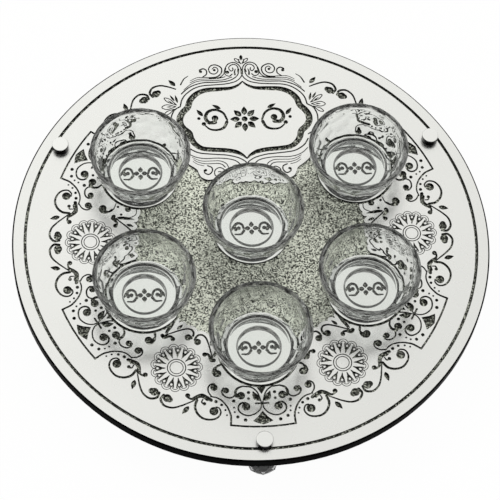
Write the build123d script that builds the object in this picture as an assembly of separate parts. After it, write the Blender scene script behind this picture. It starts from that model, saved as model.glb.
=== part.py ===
from build123d import *
import os
from math import cos, hypot, pi, radians, sin

# Seder plate: a mirror-faced round board on three crystal feet, carrying six loose glass bowls.
# Millimetres, +Z up. The origin is on the table, under the middle of the plate.
# The header of the ornament is towards +Y and the front foot towards -Y.

# Bowls, as places on the plate
side_bowl_x = 80.0
upper_row_y = 55.6
lower_row_y = -45.0
centre_bowl_y = 7.2
front_bowl_y = -89.0

# Bowls, as turned glass
bowl_height = 34.8
bowl_rim_radius = 36.7
bowl_base_radius = 22.8
bowl_wall = 3.6
bowl_rim_round = 0.9
bowl_bulge = 3.5
bowl_base_round = 1.5
bowl_floor = 6.5
bowl_floor_radius = 23.0
bowl_floor_round = 2.5
bowl_inner_bulge = 3.6
bowl_recess_radius = 15.5
bowl_recess_draft = 0.6
bowl_recess_depth = 3.0

# Plate: a black board with a mirror plaque bonded on top of it
border_width = 40.87
base_thickness = 6.5
base_edge_break = 0.4
plaque_thickness = 3.0
plaque_bevel = 0.9

# Engraving in the plaque
engraving_depth = 1.5
ring_inset = 9.5
ring_width = 2.2
label_disc_radius = 28.2
label_ring_width = 1.9
scroll_width = 1.4
frame_inset = 16.5
frame_half_angle = 8.75
rosette_circle_radius = 118.0
rosette_petals = 15
rosette_hub_radius = 6.8
rosette_hub_width = 2.4
petal_cut_start = 8.2
petal_cut_end = 14.2
petal_cut_width = 3.2
field_radius = 84.3
field_tip_x = 16.0
field_tip_rise = 7.7
field_heel_x = 20.0
band_width = 4.0
band_margin = 7.2

# Feet and the hardware that holds them
foot_inset = 14.6
stud_radius = 2.0
thread_clearance = 0.05
bolt_hole_clearance = 0.25
cap_radius = 6.0
cap_height = 5.0
cap_top_wall = 1.6
cap_edge_break = 0.5
washer_thickness = 0.5
washer_setback = 0.8
collar_height = 11.0
collar_flange_radius = 9.0
collar_flange = 1.8
collar_waist_radius = 4.6
collar_seat_radius = 6.2
collar_bottom_wall = 2.0
stud_tip_gap = 0.4

# Crystals, cut with eight sides
crystal_sides = 8
girdle_radius = 12.2
neck_radius = 5.6
table_radius = 7.6
pavilion_height = 12.0
crown_height = 5.0
kite_share = 0.45
pad_radius = 5.5
pad_thickness = 1.0

# Heights, from the table up
table_z = pad_thickness
girdle_z = table_z + crown_height
crystal_top_z = girdle_z + pavilion_height
underside_z = crystal_top_z + collar_height
plaque_z = underside_z + base_thickness
top_z = plaque_z + plaque_thickness
cap_z = top_z + washer_thickness

bowl_places = {
    "upper_left": (-side_bowl_x, upper_row_y),
    "upper_right": (side_bowl_x, upper_row_y),
    "centre": (0.0, centre_bowl_y),
    "left": (-side_bowl_x, lower_row_y),
    "right": (side_bowl_x, lower_row_y),
    "front": (0.0, front_bowl_y),
}
foot_angles = {"left": 150.0, "right": 30.0, "front": 270.0}

# Engraved ornament, as places on the plate: the field's bays each name the bowl that follows them
frame_angles = [30.0, 150.0, 210.0, 270.0, 330.0]
rosette_angles = [0.0, 180.0, 240.0, 300.0]
field_bays = {
    0.0: "upper_right",
    60.0: None,
    120.0: "upper_left",
    180.0: "left",
    240.0: "front",
    300.0: "right",
}

# Half of a border frame: scrolls as arcs through three points, and their round eyes with radii.
# x runs along the border from the frame's middle, y outwards from the ring line.
frame_scrolls = [
    [(22.7, -18.2), (22.3, -21.4), (22.3, -24.6)],
    [(22.3, -24.6), (26.0, -34.5), (35.9, -40.4)],
    [(35.9, -40.4), (37.5, -46.0), (33.0, -49.9)],
    [(45.6, -38.0), (44.6, -27.0), (37.3, -22.9)],
    [(37.3, -22.9), (29.6, -27.5), (32.4, -32.3)],
    [(0.0, -34.5), (4.4, -26.8), (10.0, -25.0)],
    [(10.0, -25.0), (16.8, -30.7), (11.6, -34.6)],
    [(0.0, -34.5), (3.4, -43.1), (13.0, -47.5)],
    [(13.0, -47.5), (18.0, -44.0), (17.8, -40.1)],
]
frame_eyes = [
    (33.3, -47.2, 2.6),
    (34.1, -29.2, 3.2),
    (11.4, -31.9, 3.0),
    (14.6, -40.3, 2.9),
    (25.0, -44.6, 2.3),
    (31.1, -57.9, 2.8),
]

# Half of the scrolls round a rosette, from the rosette's middle
rosette_scrolls = [
    [(1.8, 22.9), (8.0, 29.5), (22.0, 16.5)],
    [(1.4, -28.0), (8.0, -30.0), (19.0, -18.4)],
]
rosette_eyes = [
    (5.1, 23.6, 3.0),
    (3.8, -24.7, 2.5),
    (27.7, -9.6, 2.7),
    (26.2, -27.9, 2.3),
]

# Half of the band round the header panel, as arcs through three points
header_band = [
    [(0.0, 134.9), (3.5, 131.6), (9.5, 129.0)],
    [(9.5, 129.0), (19.5, 128.5), (28.5, 127.6)],
    [(28.5, 127.6), (38.4, 122.0), (42.6, 112.8)],
    [(42.6, 112.8), (49.0, 101.0), (42.2, 89.6)],
    [(42.2, 89.6), (38.0, 80.0), (28.0, 75.4)],
    [(28.0, 75.4), (17.0, 74.6), (8.0, 72.8)],
    [(8.0, 72.8), (3.0, 70.0), (0.0, 66.9)],
]

# The plate reaches one border's width past the outermost bowl
bowl_reach = max(hypot(x, y) for x, y in bowl_places.values()) + bowl_rim_radius
plate_radius = bowl_reach + border_width
foot_circle_radius = plate_radius - foot_inset
ring_radius = plate_radius - ring_inset


def disc(radius, height, z=0.0):
    """A plain round slab that stands on height z."""
    return Pos(0, 0, z) * Cylinder(radius, height, align=(Align.CENTER, Align.CENTER, Align.MIN))


def foot_place(angle):
    """The upright axis of the foot at this angle, turned so that local +X points outwards."""
    return Rot(0, 0, angle) * Pos(foot_circle_radius, 0, 0)


def outer_edges(solid, radius, z):
    """The round edges of one radius at one height."""
    edges = solid.edges().filter_by(GeomType.CIRCLE)
    return [e for e in edges if abs(e.radius - radius) < 0.01 and abs(e.center().Z - z) < 0.01]


def bolt_holes(z, height):
    """Clearance holes for the three studs."""
    hole = disc(stud_radius + bolt_hole_clearance, height, z)
    return [foot_place(angle) * hole for angle in foot_angles.values()]


def make_base_disc():
    board = disc(plate_radius, base_thickness, underside_z)
    board = chamfer(outer_edges(board, plate_radius, underside_z), base_edge_break)
    return board - bolt_holes(underside_z, base_thickness)


def sector(angle, radius):
    """A place on a circle of the plate, turned so that its +Y points outwards."""
    return Rot(0, 0, angle - 90) * Pos(0, radius, 0)


def sector_point(angle, x, y):
    """The plate's coordinates of a point x along and y outwards in the sector at this angle."""
    turn = radians(angle - 90)
    return (x * cos(turn) - y * sin(turn), x * sin(turn) + y * cos(turn))


def seat_discs(radius):
    return [Pos(x, y) * Circle(radius) for x, y in bowl_places.values()]


def scrolls(arcs, eyes):
    """Engraved strokes along arcs, with round eyes, and their mirror image beside them."""
    half = trace([ThreePointArc(*points) for points in arcs], scroll_width)
    half += [Pos(x, y) * Circle(radius) for x, y, radius in eyes]
    return half + mirror(half, about=Plane.YZ)


def border_frame():
    """A stepped frame with its scrolls, drawn from the ring line."""
    line_radius = ring_radius - frame_inset
    line = CenterArc((0, -ring_radius), line_radius, 90 - frame_half_angle, 2 * frame_half_angle)
    return scrolls(frame_scrolls, frame_eyes) + trace(line, scroll_width)


def rosette():
    """A round hub, wedges between the petals, and the scrolls beside them."""
    hub = Circle(rosette_hub_radius) - Circle(rosette_hub_radius - rosette_hub_width)
    half = petal_cut_width / 2
    wedge = Polygon((0, petal_cut_start), (half, petal_cut_end), (-half, petal_cut_end), align=None)
    turn = 360 / rosette_petals
    wedges = [Rot(0, 0, (k + 0.5) * turn) * wedge for k in range(rosette_petals)]
    return scrolls(rosette_scrolls, rosette_eyes) + hub + wedges


def header_panel():
    """The header's outline along the middle of its band, filled."""
    arcs = [ThreePointArc(*points) for points in header_band]
    arcs += [ThreePointArc(*[(-x, y) for x, y in points]) for points in header_band]
    return make_face(arcs)


def glitter_field(panel):
    """The sunken middle of the plaque, with a bay at each rosette and a ring round each seat."""
    tip_y = field_radius + field_tip_rise
    heel_and_tip = [(field_heel_x, field_radius), (field_tip_x, tip_y)]
    edges = []
    place = bowl_places["right"]
    for angle, next_bowl in field_bays.items():
        heel, tip = [sector_point(angle, x, y) for x, y in heel_and_tip]
        far_heel, far_tip = [sector_point(angle, -x, y) for x, y in heel_and_tip]
        middle = sector_point(angle, 0, field_radius)
        edges += [Line(place, heel), Line(heel, tip)]
        edges += [ThreePointArc(tip, middle, far_tip), Line(far_tip, far_heel)]
        place = far_heel
        if next_bowl:
            edges.append(Line(place, bowl_places[next_bowl]))
            place = bowl_places[next_bowl]
    field = make_face(edges) - offset(panel, band_margin)
    return field + seat_discs(label_disc_radius + label_ring_width) - seat_discs(label_disc_radius)


def engraving():
    """Everything cut into the plaque's face, as flat areas."""
    panel = header_panel()
    ring = Circle(ring_radius + ring_width / 2) - Circle(ring_radius - ring_width / 2)
    band = offset(panel, band_width / 2) - offset(panel, -band_width / 2)
    frame = border_frame()
    flower = rosette()
    ornament = [sector(angle, ring_radius) * frame for angle in frame_angles]
    ornament += [sector(angle, rosette_circle_radius) * flower for angle in rosette_angles]
    clear = seat_discs(label_disc_radius + label_ring_width)
    return [ring, band, glitter_field(panel)] + [area - clear for area in ornament]


def make_mirror_plaque():
    """The mirror sheet, with its ring line, ornament, middle field and bowl seats engraved into its face."""
    plaque = disc(plate_radius, plaque_thickness, plaque_z)
    plaque = chamfer(outer_edges(plaque, plate_radius, top_z), plaque_bevel)
    cuts = [Pos(0, 0, top_z) * extrude(area, -engraving_depth) for area in engraving()]
    return plaque - cuts - bolt_holes(plaque_z, plaque_thickness)


def make_cap():
    """A polished cap with a blind hole that takes the top of the stud."""
    cap = disc(cap_radius, cap_height, cap_z)
    cap = fillet(outer_edges(cap, cap_radius, cap_z + cap_height), cap_edge_break)
    return cap - disc(stud_radius + thread_clearance, cap_height - cap_top_wall, cap_z)


def make_washer():
    washer = disc(cap_radius - washer_setback, washer_thickness, top_z)
    return washer - disc(stud_radius + bolt_hole_clearance, washer_thickness, top_z)


def make_stud():
    """A threaded rod, as a plain cylinder, from the collar up into the cap."""
    low = crystal_top_z + collar_bottom_wall + stud_tip_gap
    high = cap_z + cap_height - cap_top_wall - stud_tip_gap
    return disc(stud_radius, high - low, low)


def make_collar():
    """The turned metal neck between the board and the crystal."""
    with BuildPart() as collar:
        with BuildSketch(Plane.XZ):
            with BuildLine():
                waist = (collar_waist_radius, (crystal_top_z + underside_z) / 2)
                flange_low = (collar_flange_radius, underside_z - collar_flange)
                seat = (collar_seat_radius, crystal_top_z)
                Line((0, crystal_top_z), seat)
                ThreePointArc(seat, waist, flange_low)
                Line(flange_low, (collar_flange_radius, underside_z))
                Line((collar_flange_radius, underside_z), (0, underside_z))
                Line((0, underside_z), (0, crystal_top_z))
            make_face()
        revolve(axis=Axis.Z)
    bore_z = crystal_top_z + collar_bottom_wall
    return collar.part - disc(stud_radius + thread_clearance, underside_z - bore_z, bore_z)


def facet_ring(radius, z, half_steps=0):
    """One corner per side, at one height; half_steps turns the ring by half a side."""
    step = 2 * pi / crystal_sides
    angles = [(i + half_steps / 2) * step for i in range(crystal_sides)]
    return [(radius * cos(a), radius * sin(a), z) for a in angles]


def shoulder_ring(end_radius, end_z):
    """The corners where two neighbouring kite facets and a girdle triangle meet."""
    radius = girdle_radius + (end_radius - girdle_radius) * kite_share
    z = girdle_z + (end_z - girdle_z) * kite_share
    return facet_ring(radius / cos(pi / crystal_sides), z, half_steps=1)


def make_crystal():
    """A faceted knob: kites and triangles above and below an eight-sided girdle."""
    corners = facet_ring(girdle_radius, girdle_z)
    corners += facet_ring(neck_radius, crystal_top_z)
    corners += facet_ring(table_radius, table_z)
    corners += shoulder_ring(neck_radius, crystal_top_z)
    corners += shoulder_ring(table_radius, table_z)
    return ConvexPolyhedron(corners)


def make_pad():
    return disc(pad_radius, pad_thickness)


def make_bowl():
    """A thick turned bowl standing on height 0, with a hollow under its floor."""
    recess_roof = (bowl_recess_radius, bowl_recess_depth)
    recess_edge = (bowl_recess_radius + bowl_recess_draft, 0)
    base_edge = (bowl_base_radius, 0)
    rim_outer = (bowl_rim_radius, bowl_height)
    rim_inner = (bowl_rim_radius - bowl_wall, bowl_height)
    floor_edge = (bowl_floor_radius, bowl_floor)
    with BuildPart() as bowl:
        with BuildSketch(Plane.XZ):
            with BuildLine():
                Line((0, bowl_recess_depth), recess_roof)
                Line(recess_roof, recess_edge)
                Line(recess_edge, base_edge)
                SagittaArc(base_edge, rim_outer, -bowl_bulge)
                Line(rim_outer, rim_inner)
                SagittaArc(rim_inner, floor_edge, bowl_inner_bulge)
                Line(floor_edge, (0, bowl_floor))
                Line((0, bowl_floor), (0, bowl_recess_depth))
            make_face()
        revolve(axis=Axis.Z)
    solid = fillet(outer_edges(bowl.part, *base_edge), bowl_base_round)
    solid = fillet(outer_edges(solid, *floor_edge), bowl_floor_round)
    rim_edges = outer_edges(solid, *rim_outer) + outer_edges(solid, *rim_inner)
    return fillet(rim_edges, bowl_rim_round)


def make_nodes():
    """Every piece of the plate by its name, where it stands."""
    nodes = {"base_disc": make_base_disc(), "mirror_plaque": make_mirror_plaque()}
    foot_pieces = {
        "cap": make_cap(),
        "cap_washer": make_washer(),
        "stud": make_stud(),
        "foot_collar": make_collar(),
        "crystal_foot": make_crystal(),
        "foot_pad": make_pad(),
    }
    for side, angle in foot_angles.items():
        for piece, solid in foot_pieces.items():
            nodes[f"{piece}_{side}"] = foot_place(angle) * solid
    bowl = make_bowl()
    for name, (x, y) in bowl_places.items():
        nodes[f"bowl_{name}"] = Pos(x, y, top_z) * bowl
    return nodes


os.makedirs("parts", exist_ok=True)
for name, solid in make_nodes().items():
    export_step(solid, f"parts/{name}.step")
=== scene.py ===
from math import cos, hypot, pi, radians, sin

import bpy
import numpy as np
from mathutils import Matrix, Vector
from mathutils.geometry import delaunay_2d_cdt


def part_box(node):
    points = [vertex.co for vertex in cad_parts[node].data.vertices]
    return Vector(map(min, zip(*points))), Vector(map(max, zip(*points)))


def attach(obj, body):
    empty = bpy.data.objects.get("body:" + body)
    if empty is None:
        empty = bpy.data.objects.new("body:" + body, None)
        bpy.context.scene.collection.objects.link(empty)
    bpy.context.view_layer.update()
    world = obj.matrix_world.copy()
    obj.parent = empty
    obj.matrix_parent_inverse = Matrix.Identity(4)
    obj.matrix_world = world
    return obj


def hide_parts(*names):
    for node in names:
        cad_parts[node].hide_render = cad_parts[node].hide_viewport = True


# A seder plate: a carved mirror plaque on a black board, three crystal feet and six glass bowls.
# The drawing is worked out in millimetres from the middle of the plate, +Y towards the header,
# and turned into metres where the meshes are made.

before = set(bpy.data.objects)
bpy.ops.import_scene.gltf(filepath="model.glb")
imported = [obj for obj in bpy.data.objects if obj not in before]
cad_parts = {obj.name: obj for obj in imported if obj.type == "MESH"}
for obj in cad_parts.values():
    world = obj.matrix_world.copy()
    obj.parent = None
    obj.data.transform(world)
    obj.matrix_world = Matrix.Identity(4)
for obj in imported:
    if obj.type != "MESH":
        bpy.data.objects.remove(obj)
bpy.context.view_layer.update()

MM = 0.001

plaque_low, plaque_high = [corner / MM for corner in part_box("mirror_plaque")]
PLATE_RADIUS = (plaque_high.x - plaque_low.x) / 2
TOP_Z = plaque_high.z
PLAQUE_Z = plaque_low.z
PLAQUE_BEVEL = 0.9
PLAQUE_BEVEL_WIDTH = 1.1
CUT_DEPTH = 1.5

BOWL_NAMES = ["upper_left", "upper_right", "centre", "left", "right", "front"]
FOOT_NAMES = ["left", "right", "front"]


def middle(node):
    """The place on the plate, in millimetres, over which a CAD node is centred."""
    low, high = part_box(node)
    return ((low.x + high.x) / 2 / MM, (low.y + high.y) / 2 / MM)


SEATS = {name: middle("bowl_" + name) for name in BOWL_NAMES}
CAP_PLACES = [middle("cap_" + name) for name in FOOT_NAMES]


# The carving, as distances on a grid

GRID_STEP = 0.22
GRID_REACH = PLATE_RADIUS + 1.0
GRID = np.arange(-GRID_REACH, GRID_REACH + GRID_STEP, GRID_STEP)
FAR = 50.0
EDGE_MARGIN = 0.7
WIDE_MARGIN = 4.5
CURVE_STEPS = 7
ARC_STEP = 30
LEAF_POINTS = 7
TINY = 1e-12


def segment_gap(x, y, a, b):
    """How far each place is from the segment from a to b, and the share along it of the nearest point."""
    along = b - a
    share = ((x - a[0]) * along[0] + (y - a[1]) * along[1]) / max(along @ along, TINY)
    share = np.clip(share, 0.0, 1.0)
    return np.hypot(x - a[0] - share * along[0], y - a[1] - share * along[1]), share


class Layer:
    """Distances, in mm, to the edge of a drawn area on a grid over the plate: negative inside it."""

    def __init__(self, margin=EDGE_MARGIN):
        self.margin = margin
        self.distance = np.full((GRID.size, GRID.size), FAR)

    def window(self, low, high):
        """The part of the grid between two corners, with the margin, and its coordinates."""
        first = [max(0, int((v - self.margin + GRID_REACH) / GRID_STEP)) for v in low]
        last = [max(0, int((v + self.margin + GRID_REACH) / GRID_STEP) + 2) for v in high]
        view = self.distance[first[1]:last[1], first[0]:last[0]]
        return view, GRID[first[0]:last[0]][None, :], GRID[first[1]:last[1]][:, None]

    def capsule(self, a, b, radius_a, radius_b):
        """A round-ended bar from a to b whose radius may change along it."""
        low = np.minimum(a - radius_a, b - radius_b)
        high = np.maximum(a + radius_a, b + radius_b)
        view, x, y = self.window(low, high)
        gap, share = segment_gap(x, y, a, b)
        np.minimum(view, gap - radius_a - share * (radius_b - radius_a), out=view)

    def polygon(self, points):
        """A filled outline."""
        view, x, y = self.window(points.min(axis=0), points.max(axis=0))
        nearest = np.full(view.shape, FAR)
        inside = np.zeros(view.shape, dtype=bool)
        for a, b in zip(points, np.roll(points, -1, axis=0)):
            np.minimum(nearest, segment_gap(x, y, a, b)[0], out=nearest)
            if a[1] != b[1]:
                crossing = a[0] + (y - a[1]) / (b[1] - a[1]) * (b[0] - a[0])
                inside ^= ((y > a[1]) != (y > b[1])) & (x < crossing)
        np.minimum(view, np.where(inside, -nearest, nearest), out=view)


def smooth(points, closed=False):
    """A Catmull-Rom curve through the points."""
    if closed:
        ends = [points[-1:], points, points[:2]]
    else:
        ends = [2 * points[:1] - points[1:2], points, 2 * points[-1:] - points[-2:-1]]
    p = np.concatenate(ends)
    t = np.linspace(0.0, 1.0, CURVE_STEPS, endpoint=False)[:, None]
    spans = []
    for a, b, c, d in zip(p[:-3], p[1:-2], p[2:-1], p[3:]):
        spans.append(b + 0.5 * t * (c - a + t * (2 * a - 5 * b + 4 * c - d + t * (3 * (b - c) + d - a))))
    if not closed:
        spans.append(points[-1:])
    return np.concatenate(spans)


def circle_points(radius, angles):
    """Points on a circle, by their angles from +Y towards +X."""
    return np.column_stack([radius * np.sin(angles), radius * np.cos(angles)])


class Pen:
    """Draws into a layer from a place of its own, which may be turned and mirrored."""

    def __init__(self, layer, matrix=np.eye(3)):
        self.layer = layer
        self.matrix = matrix

    def at(self, x=0.0, y=0.0, turn=0.0, flip=1):
        """A pen at a place in this pen's frame, turned by an angle in degrees and maybe mirrored."""
        c = cos(radians(turn))
        s = sin(radians(turn))
        step = np.array([[c * flip, -s, x], [s * flip, c, y], [0, 0, 1]])
        return Pen(self.layer, self.matrix @ step)

    def halves(self):
        """This pen and its mirror image."""
        return [self, self.at(flip=-1)]

    def place(self, points):
        """Where points in this pen's frame lie on the plate."""
        points = np.asarray(points, dtype=float)
        return points @ self.matrix[:2, :2].T + self.matrix[:2, 2]

    def stroke(self, path, radii):
        """A stroke along a path on the plate, with a radius at each of its points."""
        for a, b, radius_a, radius_b in zip(path[:-1], path[1:], radii[:-1], radii[1:]):
            self.layer.capsule(a, b, radius_a, radius_b)

    def line(self, points, width, end_width=None):
        """A curved stroke, of one width or tapering to another."""
        path = smooth(self.place(points))
        end_width = width if end_width is None else end_width
        self.stroke(path, np.linspace(width / 2, end_width / 2, len(path)))

    def dots(self, *dots):
        """Round dots, each given as x, y and its radius."""
        for x, y, radius in dots:
            centre = self.place([(x, y)])[0]
            self.layer.capsule(centre, centre, radius, radius)

    def arc(self, radius, start, end, width):
        """Part of a circle round the pen's place, with angles in degrees from its +Y axis."""
        steps = max(3, int(abs(end - start) / ARC_STEP) + 1)
        self.line(circle_points(radius, np.radians(np.linspace(start, end, steps))), width)

    def area(self, points):
        self.layer.polygon(self.place(points))

    def leaf(self, start, end, width, bend=0.0):
        """A pointed leaf between two points, bent sideways by a share of its length."""
        start = np.asarray(start, dtype=float)
        along = np.asarray(end, dtype=float) - start
        side = np.array([-along[1], along[0]])
        half = width / 2 / hypot(*along)
        share = np.linspace(0.0, 1.0, LEAF_POINTS)
        swell = np.sin(pi * share ** 0.8)
        spine = start + share[:, None] * along + (bend * np.sin(pi * share))[:, None] * side
        one_side = spine + (half * swell)[:, None] * side
        other_side = spine - (half * swell)[:, None] * side
        self.area(np.concatenate([one_side, other_side[-2:0:-1]]))

    def leaf_outline(self, start, end, width, line_width):
        """A leaf drawn as a line round its edge."""
        start = np.asarray(start, dtype=float)
        along = np.asarray(end, dtype=float) - start
        side = np.array([-along[1], along[0]]) / hypot(*along) * width / 2
        for sign in (1, -1):
            widest = start + 0.6 * along + sign * side
            near_tip = start + 0.93 * along + sign * 0.5 * side
            self.line([start, widest, near_tip, start + along], line_width)


def sector_pen(layer, angle):
    """A pen whose +Y axis points outwards at this angle of the plate, in degrees."""
    return Pen(layer).at(turn=angle - 90)


# The ornament, in halves that are mirrored about their own axis

UNIT_ANGLES = [30, 150, 210, 270, 330]
VINE_ANGLES = [0, 60, 120, 180, 240, 300]
ROSETTE_ANGLES = [0, 180, 240, 300]
FINE_WIDTH = 0.75
PETALS = 15
ROSETTE_Y = 118.0


def draw_unit(pen):
    """Half of the stepped border frame with its scrolls and dots."""
    pen.line(circle_points(149, np.radians(np.linspace(0.0, -8.75, 6))), 1.4)
    pen.line([(-22.7, 147.3), (-22.3, 140.9), (-23.1, 137.3), (-24.8, 133), (-28, 128.7),
              (-31.6, 126.2), (-35.9, 125.1)], 1.5, 1.0)
    pen.line([(-35.2, 125.2), (-37.3, 121.6), (-37.3, 118), (-35.5, 115.9), (-33, 115.6)], 1.0, 1.3)
    pen.line([(-45.6, 127.5), (-47.2, 132.3), (-45.9, 137.3), (-42.3, 141.2), (-37.3, 142.6),
              (-32.3, 141.6), (-29.4, 138), (-30.2, 134.3), (-32.4, 133.2)], 2.0, 1.0)
    pen.dots((-33.3, 118.3, 2.6), (-34.1, 136.3, 3.2), (-11.4, 133.6, 3.0), (-14.6, 125.2, 2.9),
             (-25, 120.9, 2.3), (-31.1, 107.6, 2.8))
    pen.dots((-32.3, 129.1, 1.25), (-28.5, 131.7, 1.05), (-26, 135.7, 0.8), (-25.1, 139.6, 0.7),
             (-19.9, 129.1, 1.3), (-19.9, 134.1, 0.75), (-19.6, 137.5, 0.75), (-17.6, 141.2, 1.2),
             (-12.3, 143.7, 1.3), (-9.4, 127.6, 1.05), (-9.2, 123.0, 1.2))
    pen.line([(-0.3, 131), (-1.2, 135.1), (-4.4, 138.7), (-9.4, 140.5), (-13.7, 139.4), (-16.6, 136.6),
              (-16.6, 133), (-14.4, 130.8), (-11.6, 130.9)], 0.9, 1.5)
    pen.line([(0, 131.4), (-4.4, 131.4)], 1.2, 1.5)
    pen.area([(0.1, 137.0), (-3.6, 141.6), (-7.2, 144.6), (-3.9, 146.2), (0.1, 147.5)])
    pen.line([(-0.4, 131.3), (-1.2, 128), (-2.3, 124.4), (-4.2, 121.2), (-7.5, 118.9), (-13, 118)],
             0.9, 1.2)
    pen.leaf((-1.1, 129.6), (-6.2, 121.8), 4.4, bend=-0.1)
    pen.area([(0.1, 124.6), (-3.2, 119.2), (0.1, 119.2)])
    pen.line([(-13, 118), (-16.6, 119.4), (-18.4, 122.3), (-17.8, 125.4)], 1.2, 2.4)
    pen.line([(-18.2, 123.4), (-20.1, 125.9), (-23, 126.6), (-26.6, 124.8), (-28, 121.6), (-26.6, 119.1)],
             1.1, 1.3)
    pen.line([(-28, 101.6), (-32.3, 103.4), (-33.8, 106.9)], 0.8, 1.4)


def draw_rosette(pen):
    """A ring of petals: dark wedges between them and fine arcs round their tips."""
    pen.arc(6.5, -180, 180, 0.75)
    pen.arc(4.7, -180, 180, 0.6)
    for k in range(PETALS):
        petal = pen.at(turn=360 / PETALS * k)
        petal.at(0, 14.9).arc(3.5, -104, 104, 0.5)
        petal.at(0, 14.6).arc(2.2, -110, 110, 0.5)
        wedge = pen.at(turn=360 / PETALS * (k + 0.5))
        wedge.line([(0, 7.9), (0, 11.5)], 0.5, 2.0)
        for half in wedge.halves():
            half.line([(0.4, 11.1), (1.3, 13.0), (2.1, 15.2)], 1.5, 0.8)


def draw_outer_vine(pen):
    """Half of the scrolls outside a rosette."""
    pen.dots((-5.1, 141.6, 3.0), (-7.2, 141.8, 2.2), (-16.9, 133.2, 1.8), (-30.1, 133.2, 1.3))
    pen.line([(-1.8, 140.7), (-1.4, 144.4), (-4.5, 147.1), (-8, 147.5), (-12.5, 145.9), (-17, 141.6),
              (-19.8, 138), (-22.6, 134.4), (-24, 131.6)], 2.0, 0.8)
    pen.leaf((-21.5, 139.9), (-19.9, 147.4), 3.6)
    pen.line([(-33, 128.6), (-29, 128), (-25.5, 128), (-22.8, 130.6), (-20.7, 134), (-18.2, 134.6)],
             2.6, 1.4)
    pen.line([(-30.4, 128.9), (-26.5, 128.6), (-23.6, 131), (-22, 134.4)], 3.4, 1.4)
    pen.line([(-27.6, 130.6), (-27.9, 133), (-30.1, 133.6)], 0.9, 1.3)


def draw_side_scrolls(pen):
    """Half of the small scrolls between a rosette and the bowls beside it."""
    pen.line([(-31.2, 98.7), (-26.9, 100.5), (-24.6, 103.7), (-25.2, 107)], 0.7, 1.6)
    pen.dots((-27.7, 108.4, 2.7), (-26.2, 90.1, 2.3), (-28.4, 97.3, 1.0), (-21.9, 95.1, 1.0),
             (-12.8, 99.6, 1.7))
    pen.line([(-20.6, 100.6), (-18.8, 101.4), (-16.9, 99.6), (-14.9, 98.3), (-13.2, 98.6)], 3.0, 1.2)


def draw_inner_vine(pen):
    """Half of the scrolls inside a rosette, which edge the glitter field."""
    pen.dots((-3.8, 93.3, 2.5))
    pen.line([(-1.4, 92.8), (-1.2, 90.4), (-2.2, 88), (-4.8, 86.9), (-8, 88), (-11.6, 91.2), (-15.5, 95.5),
              (-18, 98.4), (-19.8, 100.6)], 1.7, 0.9)


def draw_inner_leaves(pen):
    """Half of the leaves that grow from the inner vine towards the field."""
    pen.leaf((-13.7, 91.6), (-11.6, 86.0), 2.3)
    pen.leaf((-19.8, 98.7), (-17.6, 85.1), 2.6)
    pen.line([(-26, 83.8), (-22, 84.2), (-19.6, 87.5), (-18.4, 92), (-18.4, 97), (-19, 99)], 0.7)


FIELD_EDGE = [(0, 91), (-2, 88), (-4.8, 86.9), (-8, 88), (-11.6, 91.2), (-15.5, 95.5), (-18, 97),
              (-17.7, 92), (-19, 87.5), (-22, 84), (-26, 83.5)]
VINE_GAP = 2.4

BAND = [(0, 134.9), (3.5, 131.6), (9.5, 129), (19.5, 128.3), (28.5, 127.6), (35.5, 124.6), (40.5, 119),
        (42.6, 112.8), (46.3, 108.6), (48.8, 103.6), (48.8, 98.6), (46.6, 94.2), (42.4, 90),
        (41, 85), (38, 80), (33, 76.4), (25.5, 75.2), (15.5, 74.4), (8, 72.8), (3, 70), (0, 66.9)]
BAND_WIDTHS = [(0, 1.0), (3, 3.6), (6, 4.8), (9, 5.2), (12, 5.0), (15, 4.0), (18, 3.5), (20, 1.0)]
HEADER_GROUND = 14.2
HEADER_FIELD_GAP = 7.2


def draw_band(pen):
    """Half of the glitter band round the header panel, pointed at its top and bottom."""
    path = smooth(pen.place(BAND))
    along = np.linspace(0, len(BAND) - 1, len(path))
    pen.stroke(path, np.interp(along, *zip(*BAND_WIDTHS)) / 2)


def draw_header_lines(pen):
    """Half of the lines that follow the band outside it."""
    pen.line([(0, 140.6), (2, 137.4), (6, 134.6), (13, 132.9), (21, 132.3), (31, 131.6), (38, 129),
              (44, 124), (47, 119), (48.2, 113.6)], 0.9, 1.1)
    pen.line([(48.2, 113.6), (52.3, 111), (54.6, 107), (55.6, 102.5), (55, 96), (52, 90.5), (47.5, 87)],
             1.1, 1.0)
    pen.line([(47, 83), (43.5, 77.5), (36, 72.8), (25, 71.2), (15, 70.2), (7, 68), (2, 65), (0, 62.6)],
             1.1, 0.9)
    pen.line([(2.2, 146), (2.8, 142), (5.4, 138.4), (11, 135.6), (20, 134.6), (30, 134.4), (38, 132),
              (43, 128.8), (47, 124.8)], 0.9, 1.0)
    pen.line([(8, 138.9), (15, 136.6), (25, 136.2), (33, 136), (39, 133.6), (45, 128.4)], 0.8, 0.6)
    pen.line([(13, 139.4), (19, 137.9), (27, 137.7), (34, 137.4), (40, 134.6)], 0.8, 0.6)
    pen.line([(25, 139), (30, 139.2), (35, 138.9), (40, 136.2)], 0.8, 0.5)
    pen.line([(5.5, 62.4), (9, 65.4), (15, 67.1), (22.5, 67.8), (31, 67.6), (37.5, 68.8), (42.5, 71.4),
              (46, 75)], 0.9, 0.7)
    pen.line([(14.2, 59.6), (15.5, 62.6), (18.5, 64.7), (22.5, 65.5), (32.5, 65.4), (37, 66.6), (41, 69)],
             0.8, 0.5)
    pen.line([(16.8, 59.8), (18.8, 62.2), (22.5, 63.2), (31, 63.1), (37, 64.8), (40, 67)], 0.9, 0.5)
    pen.line([(32.5, 61.4), (37, 62.8), (40.5, 65.4)], 0.6, 0.5)
    pen.line([(41.3, 140.7), (44.7, 138), (47.3, 133)], 0.6, 1.2)


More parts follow.
